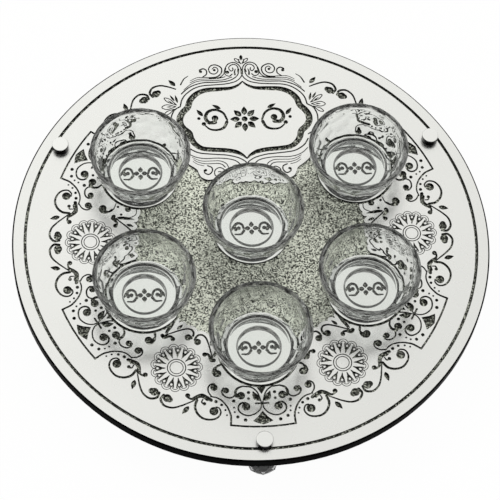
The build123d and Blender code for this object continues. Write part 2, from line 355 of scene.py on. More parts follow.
def draw_crest(pen):
    """Half of the crest over the band: a bud, a paisley, a volute and a hook."""
    pen.leaf((0, 159), (0, 153.6), 2.6)
    pen.leaf_outline((0.6, 151.2), (5.0, 155.6), 2.2, FINE_WIDTH)
    pen.line([(0.5, 150.8), (1.8, 152.6), (1.6, 155)], FINE_WIDTH)
    pen.line([(0.5, 141.5), (0.7, 147), (2.8, 150.6), (6.3, 152.2), (10.2, 150.8), (12.6, 147), (14, 142),
              (17, 139), (22, 137.9)], 1.0, 0.8)
    pen.line([(3.4, 143.5), (2.7, 147), (4, 149.6), (6.4, 150.4), (9, 149), (9.8, 146.6), (8.2, 144.4),
              (6.6, 145.4), (6.9, 147.2)], 0.9)
    pen.line([(5.4, 141.2), (5.6, 143.6), (4.8, 146.2)], 1.6, 0.7)
    pen.line([(12, 147), (13, 141.8), (9.8, 139.8), (7.6, 141.6)], 0.7, 1.0)
    pen.line([(25, 138.7), (20, 139.2), (16.7, 141.4), (15.3, 144.7), (16, 148), (20, 150.3), (23.6, 149.5),
              (25.4, 146.3), (24, 142.9), (20.8, 142.1), (18.4, 144.2), (18.6, 147), (20.8, 148.2),
              (22.6, 146.6)], 1.2, 0.8)
    pen.line([(30, 139.6), (27.2, 142), (27.2, 145.4), (29.6, 147), (32.4, 145.8)], 0.9, 1.2)
    pen.dots((11.1, 143.4, 1.5), (21, 145.6, 1.1), (31.6, 144.4, 1.3))


LOWER_GROUND = [(0, 46.8), (5, 48.6), (9.5, 46.6), (15, 49.2), (20, 46.8), (25.6, 49.6), (30, 49.4),
                (34.6, 51.6), (36.7, 55.5), (38, 58.7), (43.5, 63), (47.6, 68), (48.5, 78)]


def lower_ground():
    """The scalloped pale ground under the band."""
    layer = Layer(margin=WIDE_MARGIN)
    half = np.array(LOWER_GROUND, dtype=float)
    layer.polygon(smooth(np.concatenate([half, half[:0:-1] * (-1, 1)]), closed=True))
    return layer.distance


def draw_lower_crest(pen):
    """Half of the volutes under the band."""
    pen.line([(1.4, 55.4), (4.4, 60.2), (9, 61.4), (12.8, 58.6), (12.8, 54.2), (9.4, 51.4), (5.6, 52.6),
              (4.8, 56), (7, 58.4), (9.8, 57.4), (9.8, 55)], 0.9, 0.8)
    pen.line([(16.6, 53.4), (17.4, 57.6), (21, 59.6), (24.4, 57.4), (24.6, 53.4), (21.6, 51.4), (19.2, 53.2),
              (20, 56), (22, 56)], 0.9, 0.8)
    pen.line([(29.8, 61.4), (26.8, 59.8), (26.5, 56.6), (29, 54), (32, 55.2), (32.4, 57.6)], 1.0, 1.1)
    pen.dots((31.4, 57.6, 1.1))


def draw_palmette(pen):
    """Half of the leaves beside the header."""
    pen.leaf((50.2, 116.6), (51.9, 124.2), 2.0)
    pen.leaf((52.4, 118.4), (56, 124.2), 1.7)
    pen.leaf_outline((51, 115), (60.2, 121.4), 3.0, FINE_WIDTH)
    pen.leaf((53.6, 116.4), (58, 119.6), 0.9)
    pen.leaf_outline((51.6, 113.6), (62.2, 113.2), 4.2, FINE_WIDTH)
    pen.leaf((54.6, 113.6), (59, 113.4), 1.1)
    pen.leaf_outline((53, 111.4), (60.4, 106.6), 2.6, FINE_WIDTH)


def draw_panel_ornament(pen):
    """A plain flower between two scrolls, in the middle of the header panel."""
    centre = pen.at(0, 101.4)
    centre.dots((0, 0, 2.3))
    for k in range(8):
        centre.at(turn=45 * k).leaf((0, 3.4), (0, 11.2), 4.6)
    for half in centre.halves():
        half.line([(13.2, -0.6), (16, 5.6), (21.6, 8.6), (27.4, 7), (29.6, 1.8), (27, -2.6), (22.6, -2.4)],
                  1.6, 3.4)
        half.line([(13.6, -2.4), (16, -7.2), (21, -9.2), (26.4, -8.4), (30, -5.2)], 2.6, 1.2)
        half.leaf((17.6, 9.4), (24.4, 13.2), 2.8)
        half.leaf((31.4, 3.2), (36.2, 9.2), 3.2)
        half.dots((22.4, 1.2, 2.6), (31, -3.6, 1.7), (34.6, 1.2, 1.3))


def draw_seat_sprig(pen):
    """A small scrolled sprig in the middle of a bowl's seat."""
    for k in range(4):
        pen.at(turn=90 * k).leaf((0, 0.8), (0, 5.6), 3.7)
    for half in pen.halves():
        half.line([(5.6, -0.4), (6.9, 3.2), (9.9, 4.4), (12.4, 2.2), (11.6, -1.0)], 1.7, 2.5)
        half.dots((9.4, 0.2, 1.6))
        half.line([(5.6, -2.0), (8, -4.8), (12.2, -4.8)], 2.2, 1.2)
        half.leaf((12.6, 3.0), (14.9, -2.2), 2.2)


def disc_distance(centre, radius):
    """Distances to the edge of a disc, over the whole grid."""
    return np.hypot(GRID[None, :] - centre[0], GRID[:, None] - centre[1]) - radius


def draw_ring(layer, centre, inner, outer):
    """A round groove."""
    band = np.maximum(disc_distance(centre, outer), -disc_distance(centre, inner))
    np.minimum(layer.distance, band, out=layer.distance)


SEAT_RADIUS = 28.2
SEAT_RING = 1.9
RING_RADIUS = PLATE_RADIUS - 9.5
RING_WIDTH = 2.2


def outside_seats(radius):
    """Distances to the edge of all that is further than a radius from each seat's middle."""
    return np.max([-disc_distance(seat, radius) for seat in SEATS.values()], axis=0)


def header_ground():
    """The pale ground that the header keeps clear of the border's ornament."""
    layer = Layer(margin=WIDE_MARGIN + HEADER_GROUND)
    half = smooth(np.array(BAND, dtype=float))
    layer.polygon(np.concatenate([half, half[-2:0:-1] * (-1, 1)]))
    return layer.distance


def field_distance(vines, ground):
    """The glitter field: the middle of the plate, held back from the vines, seats and header's ground."""
    layer = Layer(margin=WIDE_MARGIN)
    outline = []
    for angle, next_seat in [(0, "upper_right"), (60, None), (120, "upper_left"), (180, "left"),
                             (240, "front"), (300, "right")]:
        pen = sector_pen(layer, angle)
        half = np.array(FIELD_EDGE, dtype=float)
        edge = np.concatenate([half[::-1] * (-1, 1), half[1:]])
        outline.extend(pen.place(edge))
        if next_seat:
            outline.append(np.array(SEATS[next_seat]))
    layer.polygon(np.array(outline))
    field = np.maximum(layer.distance, VINE_GAP - vines)
    field = np.maximum(field, HEADER_FIELD_GAP - ground)
    field = np.maximum(field, -lower_ground())
    return np.maximum(field, outside_seats(SEAT_RADIUS))


def carve():
    """The whole carving, and the glitter field on its own, as grids of distances."""
    ground = header_ground()
    border = Layer()
    vines = Layer(margin=WIDE_MARGIN)
    for angle in UNIT_ANGLES:
        for pen in sector_pen(border, angle).halves():
            draw_unit(pen)
    for angle in ROSETTE_ANGLES:
        draw_rosette(sector_pen(border, angle).at(0, ROSETTE_Y))
    for angle in VINE_ANGLES:
        for half in sector_pen(border, angle).halves():
            draw_outer_vine(half)
            draw_side_scrolls(half)
        for half in sector_pen(vines, angle).halves():
            draw_inner_vine(half)
            draw_inner_leaves(half)
    header = Layer()
    for pen in Pen(header).halves():
        draw_lower_crest(pen)
        draw_band(pen)
        draw_header_lines(pen)
        draw_crest(pen)
        draw_palmette(pen)
    draw_panel_ornament(Pen(header))
    field = field_distance(vines.distance, ground)
    outside_header = np.minimum(border.distance, vines.distance)
    outside_header = np.maximum(outside_header, HEADER_GROUND - ground)
    drawn = np.minimum(outside_header, header.distance)
    drawn = np.minimum(drawn, field)
    carving = Layer()
    carving.distance = np.maximum(drawn, outside_seats(SEAT_RADIUS + SEAT_RING))
    for seat in SEATS.values():
        draw_ring(carving, seat, SEAT_RADIUS, SEAT_RADIUS + SEAT_RING)
        draw_seat_sprig(Pen(carving).at(*seat))
    draw_ring(carving, (0.0, 0.0), RING_RADIUS - RING_WIDTH / 2, RING_RADIUS + RING_WIDTH / 2)
    return carving.distance, field


# From the grid to outlines

OUTLINE_TOLERANCE = 0.05
SMALLEST_OUTLINE = 0.15
SHORTEST = 1e-9


def contour_loops(distance):
    """Closed outlines, in mm, along which the distance is nought."""
    rows, columns = distance.shape
    inside = distance < 0
    cell = inside[:-1, :-1] * 1 + inside[:-1, 1:] * 2 + inside[1:, 1:] * 4 + inside[1:, :-1] * 8
    # Each cell's sides are numbered 0 below, 1 right, 2 above, 3 left.
    # By which corners are inside: the sides an outline goes from and to, with the cut on its left.
    steps = {1: [(0, 3)], 2: [(1, 0)], 3: [(1, 3)], 4: [(2, 1)], 5: [(0, 3), (2, 1)], 6: [(2, 0)],
             7: [(2, 3)], 8: [(3, 2)], 9: [(0, 2)], 10: [(1, 0), (3, 2)], 11: [(1, 2)], 12: [(3, 1)],
             13: [(0, 1)], 14: [(3, 0)]}
    across = rows * columns

    def side_key(row, column, side):
        """A number for a cell's side, which the next cell shares: level sides first, then upright ones."""
        if side in (0, 2):
            return (row + side // 2) * columns + column
        return across + row * columns + column + (side == 1)

    follows = {}
    for case, pairs in steps.items():
        row, column = np.nonzero(cell == case)
        for start, end in pairs:
            starts = side_key(row, column, start).tolist()
            ends = side_key(row, column, end).tolist()
            follows.update(zip(starts, ends))
    flat = distance.ravel()
    loops = []
    while follows:
        first, key = follows.popitem()
        loop = [first]
        while key != first:
            loop.append(key)
            key = follows.pop(key)
        keys = np.array(loop)
        upright = keys >= across
        index = np.where(upright, keys - across, keys)
        other = index + np.where(upright, columns, 1)
        share = flat[index] / (flat[index] - flat[other])
        x = GRID[index % columns] + np.where(upright, 0.0, share * GRID_STEP)
        y = GRID[index // columns] + np.where(upright, share * GRID_STEP, 0.0)
        loops.append(np.column_stack([x, y]))
    return loops


def simplify(points):
    """Fewer points on an open path, none of the dropped ones further off than the tolerance."""
    keep = np.zeros(len(points), dtype=bool)
    keep[[0, -1]] = True
    spans = [(0, len(points) - 1)]
    while spans:
        first, last = spans.pop()
        if last - first < 2:
            continue
        a = points[first]
        along = points[last] - a
        inner = points[first + 1:last] - a
        gap = np.abs(inner[:, 0] * along[1] - inner[:, 1] * along[0]) / max(hypot(*along), SHORTEST)
        worst = int(np.argmax(gap))
        if gap[worst] > OUTLINE_TOLERANCE:
            middle_index = first + 1 + worst
            keep[middle_index] = True
            spans.append((first, middle_index))
            spans.append((middle_index, last))
    return points[keep]


def simplify_loop(loop):
    """Fewer points on a closed outline."""
    far = int(np.argmax(np.hypot(*(loop - loop[0]).T)))
    closed = np.concatenate([loop, loop[:1]])
    return np.concatenate([simplify(closed[:far + 1])[:-1], simplify(closed[far:])[:-1]])


def loop_area(loop):
    """The area in an outline, negative for one that runs clockwise."""
    x, y = loop.T
    return 0.5 * np.sum(x * np.roll(y, -1) - y * np.roll(x, -1))


def circle(centre, radius, count):
    """Points evenly round a circle."""
    angles = np.arange(count) * 2 * pi / count
    return np.column_stack([centre[0] + radius * np.cos(angles), centre[1] + radius * np.sin(angles)])


# From outlines to the plaque's mesh

RIM_POINTS = 288
HOLE_POINTS = 24
HOLE_RADIUS = 2.25
MERGE_DISTANCE = 1e-7


def triangulate(loops):
    """Points and triangles inside the convex outline of all loops.

    Also gives each triangle's region, a set of triangles that no outline divides,
    and the triangles that share each edge.
    """
    points = np.concatenate(loops)
    starts = np.cumsum([0] + [len(loop) for loop in loops])
    edges = []
    for start, end in zip(starts[:-1], starts[1:]):
        indices = np.arange(start, end)
        edges.extend(zip(indices.tolist(), np.roll(indices, -1).tolist()))
    result = delaunay_2d_cdt([Vector(p) for p in points], edges, [], 0, MERGE_DISTANCE)
    points, made_edges, triangles, _, from_edges, _ = result
    walls = {tuple(sorted(e)) for e, origin in zip(made_edges, from_edges) if origin}
    neighbours = {}
    for index, triangle in enumerate(triangles):
        for a, b in zip(triangle, triangle[1:] + triangle[:1]):
            neighbours.setdefault(tuple(sorted((a, b))), []).append(index)
    parent = list(range(len(triangles)))

    def root(index):
        while parent[index] != index:
            parent[index] = parent[parent[index]]
            index = parent[index]
        return index

    for edge, sharing in neighbours.items():
        if edge not in walls and len(sharing) == 2:
            parent[root(sharing[0])] = root(sharing[1])
    regions = [root(index) for index in range(len(triangles))]
    return np.array(points), triangles, regions, neighbours


def sample(distance, points):
    """The grid's distance at the nearest grid point to each place."""
    index = np.clip(np.rint((points + GRID_REACH) / GRID_STEP).astype(int), 0, GRID.size - 1)
    return distance[index[:, 1], index[:, 0]]


def within(points, places, radius):
    """Which points are closer than a radius to one of the places."""
    return np.min([np.hypot(*(points - place).T) for place in places], axis=0) < radius


MIRROR_FACE, SEAT_FACE, FIELD_FACE, LINE_FACE, CUT_FACE, EDGE_FACE = range(6)


def sort_triangles(points, triangles, regions, distance, field):
    """Each triangle's height and kind of face, and whether it lies in a hole."""
    corners = points[np.array(triangles)]
    centres = corners.mean(axis=1)
    sides = corners[:, 1:] - corners[:, :1]
    areas = np.abs(sides[:, 0, 0] * sides[:, 1, 1] - sides[:, 0, 1] * sides[:, 1, 0]) / 2
    depth_votes = np.bincount(regions, weights=areas * sample(distance, centres))
    in_hole = within(centres, CAP_PLACES, HOLE_RADIUS)
    in_seat = within(centres, SEATS.values(), SEAT_RADIUS)
    cut = (depth_votes[regions] < 0) & ~in_hole
    floors = np.where(sample(field, centres) < 0, FIELD_FACE, LINE_FACE)
    kinds = np.where(cut, floors, np.where(in_seat, SEAT_FACE, MIRROR_FACE))
    levels = np.where(in_hole, PLAQUE_Z, np.where(cut, TOP_Z - CUT_DEPTH, TOP_Z))
    return levels.tolist(), kinds.tolist(), in_hole


class Shell:
    """Faces over shared vertices, each of which is a point of a plan at a height."""

    def __init__(self, plan):
        self.plan = plan
        self.index_of = {}
        self.vertices = []
        self.faces = []
        self.materials = []

    def vertex(self, point, z):
        if (point, z) not in self.index_of:
            self.index_of[point, z] = len(self.vertices)
            self.vertices.append((*self.plan[point], z))
        return self.index_of[point, z]

    def add(self, corners, material):
        """A face whose corners are given as the numbers of their points and their heights."""
        self.faces.append([self.vertex(point, z) for point, z in corners])
        self.materials.append(material)


def plaque_mesh():
    """The carved plaque as one closed mesh: face, cut walls, glitter floors, bevel, edge and back."""
    distance, field = carve()
    loops = [simplify_loop(loop) for loop in contour_loops(distance)]
    loops = [loop for loop in loops if len(loop) > 2 and abs(loop_area(loop)) > SMALLEST_OUTLINE]
    rim = circle((0, 0), PLATE_RADIUS - PLAQUE_BEVEL_WIDTH, RIM_POINTS)
    outer = circle((0, 0), PLATE_RADIUS, RIM_POINTS)
    holes = [circle(place, HOLE_RADIUS, HOLE_POINTS) for place in CAP_PLACES]
    points, triangles, regions, neighbours = triangulate([rim] + holes + loops)
    levels, kinds, in_hole = sort_triangles(points, triangles, regions, distance, field)
    shell = Shell(np.concatenate([points, outer]))

    for triangle, z, kind, is_hole in zip(triangles, levels, kinds, in_hole):
        if not is_hole:
            shell.add([(i, z) for i in triangle], kind)
    for sharing in neighbours.values():
        high = max(sharing, key=lambda index: levels[index])
        low = min(sharing, key=lambda index: levels[index])
        top, bottom = levels[high], levels[low]
        if top == bottom:
            continue
        triangle = triangles[high]
        shared = set(triangles[low])
        for p, q in zip(triangle, triangle[1:] + triangle[:1]):
            if p in shared and q in shared:
                shell.add([(q, top), (p, top), (p, bottom), (q, bottom)], CUT_FACE)

    first_outer = len(points)
    bevel_z = TOP_Z - PLAQUE_BEVEL
    for i in range(RIM_POINTS):
        j = (i + 1) % RIM_POINTS
        p, q = first_outer + i, first_outer + j
        shell.add([(i, TOP_Z), (p, bevel_z), (q, bevel_z), (j, TOP_Z)], EDGE_FACE)
        shell.add([(p, bevel_z), (p, PLAQUE_Z), (q, PLAQUE_Z), (q, bevel_z)], EDGE_FACE)
    # On the back the holes' points have the same numbers as in front
    back_points, back_triangles, _, _ = triangulate([outer] + holes)
    back_index = [first_outer + i if i < RIM_POINTS else i for i in range(len(back_points))]
    back_centres = back_points[np.array(back_triangles)].mean(axis=1)
    for triangle, is_hole in zip(back_triangles, within(back_centres, CAP_PLACES, HOLE_RADIUS)):
        if not is_hole:
            shell.add([(back_index[i], PLAQUE_Z) for i in reversed(triangle)], EDGE_FACE)
    return np.array(shell.vertices), shell.faces, shell.materials


def make_object(name, vertices_mm, faces, face_materials=None, place=(0, 0, 0)):
    """A mesh object in the scene, from vertices in millimetres."""
    mesh = bpy.data.meshes.new(name)
    mesh.from_pydata((np.asarray(vertices_mm) * MM).tolist(), [], faces)
    if face_materials is not None:
        mesh.polygons.foreach_set("material_index", face_materials)
    mesh.update()
    obj = bpy.data.objects.new(name, mesh)
    obj.location = Vector(place) * MM
    bpy.context.scene.collection.objects.link(obj)
    return obj


# Bowls

BOWL_SEGMENTS = 180
BOWL_HEIGHT = 34.8
BOWL_RIM_RADIUS = 36.7
BOWL_BASE_RADIUS = 22.8
BOWL_WALL = 3.6
BOWL_FLOOR = 6.5
BOWL_FLOOR_RADIUS = 23.0
OUTER_BULGE = 3.5
INNER_BULGE = 3.6
RECESS_RADIUS = 15.5
RECESS_DRAFT = 0.6
RECESS_DEPTH = 3.8
INNERMOST = 5.0
SIDE_POINTS = 200
CORNER_POINTS = 7
CORNER_GUARD = 0.25
DIMPLE_ROWS = [(6.5, 14), (15.0, 15), (24.0, 16), (31.5, 17)]
DIMPLE_DEPTH = 1.2
DIMPLE_REACH = 7.6
DIMPLE_TURN = 0.05
DIMPLE_SHIFT = 0.9
DIMPLES_BELOW_RIM = 1.5
DIMPLE_FADE = 3.0
RIM_RIPPLE = 0.7
RIM_RIPPLE_REACH = 3.0
RIM_RIPPLES = [11, 17, 26, 37]
RIM_RIPPLE_SLANT = 0.9


def bulged(start, end, bulge, count):
    """Points on a shallow arc from start to end; a positive bulge lies to its left."""
    start = np.array(start, dtype=float)
    along = np.array(end, dtype=float) - start
    side = np.array([-along[1], along[0]]) / hypot(*along)
    share = np.linspace(0.0, 1.0, count)
    return start + share[:, None] * along + (4 * bulge * share * (1 - share))[:, None] * side


def resample(side, start_trim, end_trim, count):
    """Points along a side, less a trim at each end, with one close behind each end to keep it straight."""
    steps = np.hypot(*np.diff(side, axis=0).T)
    travelled = np.concatenate([[0.0], np.cumsum(steps)])
    first = start_trim
    last = travelled[-1] - end_trim
    between = np.linspace(first + CORNER_GUARD, last - CORNER_GUARD, count)
    wanted = np.concatenate([[first], between, [last]])
    return np.column_stack([np.interp(wanted, travelled, side[:, k]) for k in range(2)])


def round_corner(before, corner, after):
    """Points on a curve between two points that bends towards the corner between them."""
    share = np.linspace(0.0, 1.0, CORNER_POINTS)[1:-1, None]
    return (1 - share) ** 2 * before + 2 * share * (1 - share) * corner + share ** 2 * after


def bowl_profile():
    """The bowl's outline from the middle of its underside round to the middle of its floor."""
    # Each corner: its radius and height, how far its rounding reaches,
    # and the bulge and number of points of the side after it
    corners = [
        (INNERMOST, RECESS_DEPTH, 0.0, 0.0, 2),
        (RECESS_RADIUS, RECESS_DEPTH, 0.3, 0.0, 2),
        (RECESS_RADIUS + RECESS_DRAFT, 0.0, 0.3, 0.0, 3),
        (BOWL_BASE_RADIUS, 0.0, 0.65, -OUTER_BULGE, 38),
        (BOWL_RIM_RADIUS, BOWL_HEIGHT, 1.0, 0.0, 3),
        (BOWL_RIM_RADIUS - BOWL_WALL, BOWL_HEIGHT, 2.0, INNER_BULGE, 30),
        (BOWL_FLOOR_RADIUS, BOWL_FLOOR, 1.0, 0.0, 3),
        (INNERMOST, BOWL_FLOOR, 0.0, 0.0, 0),
    ]
    profile = []
    for (r, z, trim, bulge, count), (next_r, next_z, next_trim, _, _) in zip(corners, corners[1:]):
        side = resample(bulged((r, z), (next_r, next_z), bulge, SIDE_POINTS), trim, next_trim, count)
        if profile:
            profile.extend(round_corner(profile[-1], np.array((r, z)), side[0]))
        if bulge < 0:
            outer_rows = range(len(profile), len(profile) + len(side))
        profile.extend(side)
    return np.array(profile), outer_rows


def bowl_mesh(seed):
    """A pressed glass bowl with hammered dimples round its outside and a rippled rim."""
    profile, outer_rows = bowl_profile()
    random = np.random.default_rng(seed)
    dimples = []
    for row, (height, count) in enumerate(DIMPLE_ROWS):
        angles = (np.arange(count) + 0.5 * row) * 2 * pi / count
        angles += random.uniform(-DIMPLE_TURN, DIMPLE_TURN, count)
        heights = height + random.uniform(-DIMPLE_SHIFT, DIMPLE_SHIFT, count)
        dimples.extend(zip(angles, heights))
    dimples = np.array(dimples)
    angles = np.arange(BOWL_SEGMENTS) * 2 * pi / BOWL_SEGMENTS
    phases = random.uniform(0.0, 2 * pi, len(RIM_RIPPLES))
    radii = np.repeat(profile[:, :1], BOWL_SEGMENTS, axis=1)
    levels = np.repeat(profile[:, 1:], BOWL_SEGMENTS, axis=1)
    for row in outer_rows:
        radius, z = profile[row]
        turn = angles[:, None] - dimples[None, :, 0]
        turn = (turn + pi) % (2 * pi) - pi
        gap_squared = ((turn * radius) ** 2 + (z - dimples[None, :, 1]) ** 2).min(axis=1)
        rim_gap = max(0.0, BOWL_HEIGHT - DIMPLES_BELOW_RIM - z)
        fade = min(1.0, rim_gap / DIMPLE_FADE) * min(1.0, z / DIMPLE_FADE)
        radii[row] -= DIMPLE_DEPTH * fade * np.clip(1 - gap_squared / DIMPLE_REACH ** 2, 0.0, 1.0)
    for row, (radius, z) in enumerate(profile):
        nearness = max(0.0, 1 - (BOWL_HEIGHT - z) / RIM_RIPPLE_REACH)
        waves = [np.cos(count * angles + phase + RIM_RIPPLE_SLANT * radius)
                 for count, phase in zip(RIM_RIPPLES, phases)]
        levels[row] -= RIM_RIPPLE * nearness * (np.mean(waves, axis=0) + 1) / 2
    vertices = [(0.0, 0.0, profile[0][1])]
    for ring, heights in zip(radii, levels):
        vertices.extend(zip(ring * np.cos(angles), ring * np.sin(angles), heights))
    vertices.append((0.0, 0.0, profile[-1][1]))
    faces = []
    last = len(vertices) - 1
    for i in range(BOWL_SEGMENTS):
        j = (i + 1) % BOWL_SEGMENTS
        faces.append((0, 1 + j, 1 + i))
        for row in range(len(profile) - 1):
            low = 1 + row * BOWL_SEGMENTS
            high = low + BOWL_SEGMENTS
            faces.append((low + i, low + j, high + j, high + i))
        top = 1 + (len(profile) - 1) * BOWL_SEGMENTS
        faces.append((top + i, top + j, last))
    return np.array(vertices), faces


# Materials

NOISE_REACH = (0.3, 0.7)


class Nodes:
    """Makes and joins the nodes of one tree."""

    def __init__(self, tree):
        self.nodes = tree.nodes
        self.links = tree.links

    def feed(self, socket, value):
        """Joins a socket to another node's output, or sets it to a constant."""
        if isinstance(value, bpy.types.NodeSocket):
            self.links.new(value, socket)
        else:
            socket.default_value = value

    def node(self, kind, inputs=(), **settings):
        """A new node, with what goes into its sockets given in their order or by their names."""
        made = self.nodes.new(kind)
        for key, value in settings.items():
            setattr(made, key, value)
        pairs = inputs.items() if isinstance(inputs, dict) else enumerate(inputs)
        for socket, value in pairs:
            self.feed(made.inputs[socket], value)
        return made

    def math(self, operation, *values):
        return self.node("ShaderNodeMath", values, operation=operation).outputs[0]

    def vector(self, operation, *vectors):
        """A sum with vectors; a dot product and a length come out as numbers."""
        made = self.node("ShaderNodeVectorMath", vectors, operation=operation)
        return made.outputs["Value" if operation in ("DOT_PRODUCT", "LENGTH") else "Vector"]

    def fade(self, value, reach, ends=(0.0, 1.0), shape="LINEAR"):
        """Goes from one end to the other while a value goes over its reach."""
        made = self.node("ShaderNodeMapRange", (value, *reach, *ends), interpolation_type=shape)
        return made.outputs["Result"]

    def blend(self, share, first, second):
        """A colour between two, the given share of the way to the second."""
        made = self.node("ShaderNodeMix", {"Factor": share, "A": first, "B": second}, data_type="RGBA")
        return made.outputs["Result"]

    def ramp(self, value, stops):
        """A colour ramp with stops of (position, colour)."""
        made = self.node("ShaderNodeValToRGB", [value])
        elements = made.color_ramp.elements
        while len(elements) < len(stops):
            elements.new(0.5)
        for element, (position, colour) in zip(elements, stops):
            element.position = position
            element.color = (*colour, 1.0)
        return made.outputs["Color"]


class Look(Nodes):
    """A node material round one Principled shader."""

    def __init__(self, name, **values):
        self.material = bpy.data.materials.new(name)
        self.material.use_nodes = True
        super().__init__(self.material.node_tree)
        self.shader = self.nodes["Principled BSDF"]
        self.coordinates = self.node("ShaderNodeTexCoord").outputs["Object"]
        self.set(**values)

    def set(self, **values):
        """Sets or joins the shader's sockets; an underscore in a name stands for a space."""
        for socket, value in values.items():
            self.feed(self.shader.inputs[socket.replace("_", " ")], value)

    def noise(self, scale, detail=2.0, stretch=(1, 1, 1)):
        """A cloudy pattern that stays with the object."""
        place = self.node("ShaderNodeMapping", {"Vector": self.coordinates, "Scale": stretch})
        inputs = {"Vector": place.outputs["Vector"], "Scale": scale, "Detail": detail}
        return self.node("ShaderNodeTexNoise", inputs).outputs["Fac"]

    def tint(self, colours, noise):
        """A colour that drifts between two with a noise."""
        self.set(Base_Color=self.ramp(self.noise(*noise), list(zip(NOISE_REACH, colours))))

    def polish(self, roughness, noise):
        """A roughness that drifts between two values with a noise."""
        self.set(Roughness=self.fade(self.noise(*noise), NOISE_REACH, roughness))

    def bump(self, strength, height, noise):
        """A surface that is uneven with a noise."""
        inputs = {"Strength": strength, "Distance": height, "Height": self.noise(*noise)}
        self.set(Normal=self.node("ShaderNodeBump", inputs).outputs["Normal"])


def grey(value):
    return (value, value, value)


def plain_look(name, greys, colour_noise, roughness, rough_noise, **values):
    """A grey material whose tone and roughness drift a little."""
    look = Look(name, **values)
    look.tint([grey(value) for value in greys], colour_noise)
    look.polish(roughness, rough_noise)
    return look


def mirror_look(name, roughness):
    """Silvered sheet with faint clouding."""
    return plain_look(name, (0.925, 0.94), (14.0,), roughness, (60.0, 3.0), Metallic=1.0)


FLAKE_SIZES = (0.4 * MM, 0.8 * MM)
COARSE_SHARE = 0.9
FLAKE_TILT = 0.5
FIELD_TONES = [(0.0, 0.01), (0.28, 0.03), (0.38, 0.5), (0.44, 1.0)]
# The lines' glitter is much darker than the field's: painted shade for the narrow cuts.
LINE_PAINTED_SHADE_TONES = [(0.0, 0.006), (0.45, 0.02), (0.7, 0.12), (0.92, 0.7)]


def flake(tone):
    """The faintly green grey of a metal flake."""
    return (0.97 * tone, tone, 0.89 * tone)


def glitter_look(name, flake_tones):
    """A bed of fine and coarse metal flakes, each with a tone of its own, and the coarse ones tilted."""
    look = Look(name, Metallic=1.0, Roughness=0.32)
    stops = [(position, flake(tone)) for position, tone in flake_tones]
    tones = []
    for size in FLAKE_SIZES:
        flakes = look.node("ShaderNodeTexVoronoi", {"Vector": look.coordinates, "Scale": 1.0 / size})
        colour = flakes.outputs["Color"]
        tones.append(look.ramp(look.node("ShaderNodeSeparateColor", [colour]).outputs["Red"], stops))
    tilt = look.vector("SUBTRACT", colour, (0.5, 0.5, 0.5))
    tilt = look.vector("MULTIPLY", tilt, (FLAKE_TILT, FLAKE_TILT, FLAKE_TILT))
    normal = look.vector("ADD", tilt, look.node("ShaderNodeNewGeometry").outputs["Normal"])
    look.set(Base_Color=look.blend(COARSE_SHARE, *tones), Normal=look.vector("NORMALIZE", normal))
    return look


def lacquer_look():
    """Black gloss lacquer with a slight orange peel."""
    look = plain_look("black_lacquer", (0.001, 0.003), (40.0, 3.0), (0.18, 0.32), (90.0, 3.0), IOR=1.02)
    look.bump(0.06, 0.4 * MM, (500.0,))
    return look


# Painted reflection: the chrome's colour goes from dark on its sides to bright where it faces up.
CHROME_PAINTED_REFLECTION_STOPS = [(0.3, grey(0.03)), (0.75, grey(0.95))]


def chrome_look():
    """Polished chrome with painted reflections: the colour is painted bright where it faces up and dark on
    its sides.
    """
    look = Look("chrome_painted_reflection", Metallic=1.0)
    upward = look.vector("DOT_PRODUCT", look.node("ShaderNodeNewGeometry").outputs["Normal"], (0, 0, 1))
    look.set(Base_Color=look.ramp(upward, CHROME_PAINTED_REFLECTION_STOPS))
    look.polish((0.04, 0.11), (500.0, 4.0))
    return look


def glass_look(name, ior, tint, waviness):
    """Clear glass with the waviness of a pressed surface, which lies in level streaks."""
    look = Look(name, Transmission_Weight=1.0, IOR=ior)
    paler = tuple((1 + v) / 2 for v in tint)
    look.tint((tint, paler), (60.0,))
    look.polish((0.0, 0.012), (120.0,))
    look.bump(waviness, 0.6 * MM, (70.0, 1.0, (1, 1, 5)))
    return look


STREAKS_AROUND = 4.5
STREAKS_ACROSS = 1.1 / MM
# Painted reflections: these stops darken the glass's colour in dark streaks.
PAINTED_STREAK_STOPS = [(0.44, grey(0.01)), (0.54, grey(1.0))]
RIM_STREAKS_FROM = (32.5 * MM, 33.5 * MM)
HOLLOW_WALL = (RECESS_RADIUS + RECESS_DRAFT / 2) * MM
HOLLOW_WALL_REACH = 0.4 * MM
HOLLOW_TOP = (RECESS_DEPTH - 0.1) * MM


def add_painted_reflection_streaks(look):
    """Painted reflections: dark streaks painted into the glass's colour round a bowl, on its rim and in the
    hollow under it.
    """
    level = look.vector("MULTIPLY", look.coordinates, (1, 1, 0))
    radius = look.vector("LENGTH", level)
    height = look.vector("DOT_PRODUCT", look.coordinates, (0, 0, 1))
    around = look.vector("NORMALIZE", level)
    around = look.vector("MULTIPLY", around, (STREAKS_AROUND, STREAKS_AROUND, 0))
    across = look.math("MULTIPLY", look.math("SUBTRACT", radius, height), STREAKS_ACROSS)
    place = look.vector("ADD", around, look.node("ShaderNodeCombineXYZ", {"Z": across}).outputs["Vector"])
    noise = look.node("ShaderNodeTexNoise", {"Vector": place, "Scale": 1.0}).outputs["Fac"]
    on_rim = look.fade(height, RIM_STREAKS_FROM)
    on_wall = look.math("COMPARE", radius, HOLLOW_WALL, HOLLOW_WALL_REACH)
    in_hollow = look.math("MULTIPLY", on_wall, look.math("LESS_THAN", height, HOLLOW_TOP))
    painted_reflection_share = look.math("MAXIMUM", on_rim, in_hollow)
    clear = look.shader.inputs["Base Color"].links[0].from_socket
    look.set(Base_Color=look.blend(painted_reflection_share, clear, look.ramp(noise, PAINTED_STREAK_STOPS)))
    return look


# The pieces

lacquer = lacquer_look().material
cut_wall = plain_look("plate_cut_wall", (0.008, 0.022), (900.0,), (0.4, 0.7), (700.0,),
                      Specular_IOR_Level=0.3).material
